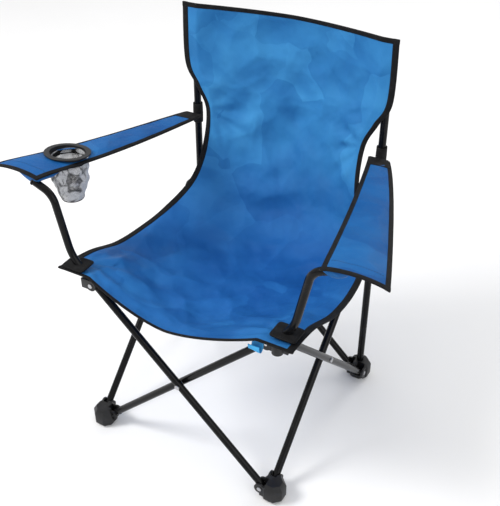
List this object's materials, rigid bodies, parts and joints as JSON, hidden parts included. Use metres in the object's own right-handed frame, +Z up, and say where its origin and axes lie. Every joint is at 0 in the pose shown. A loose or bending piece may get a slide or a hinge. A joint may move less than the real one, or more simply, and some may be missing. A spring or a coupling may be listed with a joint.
{
  "type": "folding camp chair",
  "caption": "Folding camp chair: scissor-frame of steel tubes, one-piece fabric sling, fabric armrests and a mesh cup holder.",
  "frame": {"origin": "on the floor, at the middle of the chair's overall box", "axes": "+Z up, the chair faces -Y, +X to the right as seen from the front"},
  "size_m": [0.8544, 0.5456, 0.856],
  "materials": {
    "sling_cloth": "royal blue woven polyester with a soft sheen",
    "arm_cloth": "blue woven polyester, padded",
    "edge_tape": "black folded polyester tape",
    "black_webbing": "black woven webbing",
    "cup_mesh": "black open mesh",
    "tube_paint": "gloss black powder coat on steel tube",
    "black_plastic": "moulded black plastic",
    "steel": "zinc-plated rivets"
  },
  "bodies": {
    "rear_left": {"rear_left_foot": "black_plastic", "rear_left_post": "tube_paint", "rear_left_cap": "black_plastic", "rear_left_foot_pins": "steel", "sling": "sling_cloth", "sling_tape": "edge_tape", "left_post_pocket": "sling_cloth"},
    "rear_right": {"rear_right_foot": "black_plastic", "rear_right_post": "tube_paint", "rear_right_cap": "black_plastic", "rear_right_foot_pins": "steel", "right_post_pocket": "sling_cloth"},
    "left_slider": {"rear_left_slider": "black_plastic", "rear_left_slider_pins": "steel"},
    "right_slider": {"rear_right_slider": "black_plastic", "rear_right_slider_pins": "steel"},
    "front_left": {"front_left_foot": "black_plastic", "front_left_foot_pins": "steel"},
    "front_right": {"front_right_foot": "black_plastic", "front_right_foot_pins": "steel"},
    "left_bracket": {"front_left_bracket": "black_plastic", "front_left_bracket_pins": "steel", "left_corner_patch": "black_webbing"},
    "right_bracket": {"front_right_bracket": "black_plastic", "front_right_bracket_pins": "steel", "right_corner_patch": "black_webbing"},
    "left_leg": {"left_arm_leg": "tube_paint", "left_arm_tip": "black_plastic", "front_rivet": "steel"},
    "right_leg": {"right_arm_leg": "tube_paint", "right_arm_tip": "black_plastic"},
    "rear_bar_left": {"rear_bar_left_foot": "tube_paint", "rear_rivet": "steel"},
    "rear_bar_right": {"rear_bar_right_foot": "tube_paint"},
    "left_bar_front": {"left_bar_front_foot": "tube_paint"},
    "left_bar_rear": {"left_bar_rear_foot": "tube_paint", "left_rivet": "steel"},
    "right_bar_front": {"right_bar_front_foot": "tube_paint"},
    "right_bar_rear": {"right_bar_rear_foot": "tube_paint", "right_rivet": "steel"},
    "left_sleeve": {"left_arm_sleeve": "black_webbing"},
    "right_sleeve": {"right_arm_sleeve": "black_webbing"},
    "left_armrest": {"left_armrest": "arm_cloth", "left_armrest_tape": "edge_tape", "cup_ring": "black_plastic", "cup_pouch": "cup_mesh"},
    "right_armrest": {"right_armrest": "arm_cloth", "right_armrest_tape": "edge_tape"}
  },
  "joints": [
    {"name": "fold", "type": "hinge", "parent": "rear_left", "child": "rear_bar_left", "pos_m": [-0.1985, 0.23, 0.028], "axis": [0, -1, 0], "range_deg": [0, 37], "deforming": ["sling", "sling_tape", "left_corner_patch", "right_corner_patch", "left_armrest", "left_armrest_tape", "right_armrest", "right_armrest_tape", "cup_ring", "cup_pouch", "left_arm_sleeve", "right_arm_sleeve"]},
    {"name": "right_slider_turn", "type": "hinge", "parent": "rear_bar_left", "child": "right_slider", "pos_m": [0.1985, 0.23, 0.414], "axis": [0, 1, 0], "range_deg": [0, 37]},
    {"name": "rear_cross", "type": "hinge", "parent": "rear_bar_left", "child": "rear_bar_right", "pos_m": [0, 0.2215, 0.221], "axis": [0, 1, 0], "range_deg": [0, 74]},
    {"name": "rear_right_foot_turn", "type": "hinge", "parent": "rear_bar_right", "child": "rear_right", "pos_m": [0.1985, 0.213, 0.028], "axis": [0, -1, 0], "range_deg": [0, 37]},
    {"name": "left_slider_turn", "type": "hinge", "parent": "rear_bar_right", "child": "left_slider", "pos_m": [-0.1985, 0.213, 0.414], "axis": [0, -1, 0], "range_deg": [0, 37]},
    {"name": "left_bar_fold", "type": "hinge", "parent": "rear_left", "child": "left_bar_rear", "pos_m": [-0.213, 0.1985, 0.028], "axis": [-1, 0, 0], "range_deg": [0, 37]},
    {"name": "left_bracket_turn", "type": "hinge", "parent": "left_bar_rear", "child": "left_bracket", "pos_m": [-0.213, -0.1985, 0.414], "axis": [1, 0, 0], "range_deg": [0, 37]},
    {"name": "left_leg_turn", "type": "hinge", "parent": "left_bracket", "child": "left_leg", "pos_m": [-0.1985, -0.23, 0.414], "axis": [0, 1, 0], "range_deg": [0, 37]},
    {"name": "front_right_foot_turn", "type": "hinge", "parent": "left_leg", "child": "front_right", "pos_m": [0.1985, -0.23, 0.028], "axis": [0, -1, 0], "range_deg": [0, 37]},
    {"name": "left_cross", "type": "hinge", "parent": "left_bar_rear", "child": "left_bar_front", "pos_m": [-0.2215, 0, 0.221], "axis": [1, 0, 0], "range_deg": [0, 74]},
    {"name": "front_left_foot_turn", "type": "hinge", "parent": "left_bar_front", "child": "front_left", "pos_m": [-0.23, -0.1985, 0.028], "axis": [-1, 0, 0], "range_deg": [0, 37]},
    {"name": "right_leg_turn", "type": "hinge", "parent": "front_left", "child": "right_leg", "pos_m": [-0.1985, -0.213, 0.028], "axis": [0, -1, 0], "range_deg": [0, 37]},
    {"name": "right_bracket_turn", "type": "hinge", "parent": "right_leg", "child": "right_bracket", "pos_m": [0.1985, -0.213, 0.414], "axis": [0, 1, 0], "range_deg": [0, 37]},
    {"name": "right_bar_fold", "type": "hinge", "parent": "rear_right", "child": "right_bar_rear", "pos_m": [0.23, 0.1985, 0.028], "axis": [-1, 0, 0], "range_deg": [0, 37]},
    {"name": "right_cross", "type": "hinge", "parent": "right_bar_rear", "child": "right_bar_front", "pos_m": [0.2215, 0, 0.221], "axis": [1, 0, 0], "range_deg": [0, 74]},
    {"name": "left_sleeve_slide", "type": "slide", "parent": "rear_left", "child": "left_sleeve", "axis": [0, 0, 1], "range_m": [0, 0.08]},
    {"name": "left_armrest_lift", "type": "hinge", "parent": "left_sleeve", "child": "left_armrest", "pos_m": [-0.2225, 0.2095, 0.6], "axis": [-0.8343, 0.211, 0.5093], "range_deg": [0, 51.47]},
    {"name": "right_sleeve_slide", "type": "slide", "parent": "rear_right", "child": "right_sleeve", "axis": [0, 0, 1], "range_m": [0, 0.08]},
    {"name": "right_armrest_lift", "type": "hinge", "parent": "right_sleeve", "child": "right_armrest", "pos_m": [0.2225, 0.2095, 0.6], "axis": [-0.8417, -0.2204, -0.493], "range_deg": [0, 55.51]}
  ],
  "couplings": [
    {"joint": "right_slider_turn", "follows": "fold", "ratio": 1},
    {"joint": "rear_cross", "follows": "fold", "ratio": 2},
    {"joint": "rear_right_foot_turn", "follows": "fold", "ratio": 1},
    {"joint": "left_slider_turn", "follows": "fold", "ratio": 1},
    {"joint": "left_bar_fold", "follows": "fold", "ratio": 1},
    {"joint": "left_bracket_turn", "follows": "fold", "ratio": 1},
    {"joint": "left_leg_turn", "follows": "fold", "ratio": 1},
    {"joint": "front_right_foot_turn", "follows": "fold", "ratio": 1},
    {"joint": "left_cross", "follows": "fold", "ratio": 2},
    {"joint": "front_left_foot_turn", "follows": "fold", "ratio": 1},
    {"joint": "right_leg_turn", "follows": "fold", "ratio": 1},
    {"joint": "right_bracket_turn", "follows": "fold", "ratio": 1},
    {"joint": "right_bar_fold", "follows": "fold", "ratio": 1},
    {"joint": "right_cross", "follows": "fold", "ratio": 2},
    {"joint": "left_sleeve_slide", "follows": "fold", "m_per_rad": 0.12388},
    {"joint": "left_armrest_lift", "follows": "fold", "ratio": 1.3907},
    {"joint": "right_sleeve_slide", "follows": "fold", "m_per_rad": 0.12388},
    {"joint": "right_armrest_lift", "follows": "fold", "ratio": 1.4999}
  ]
}
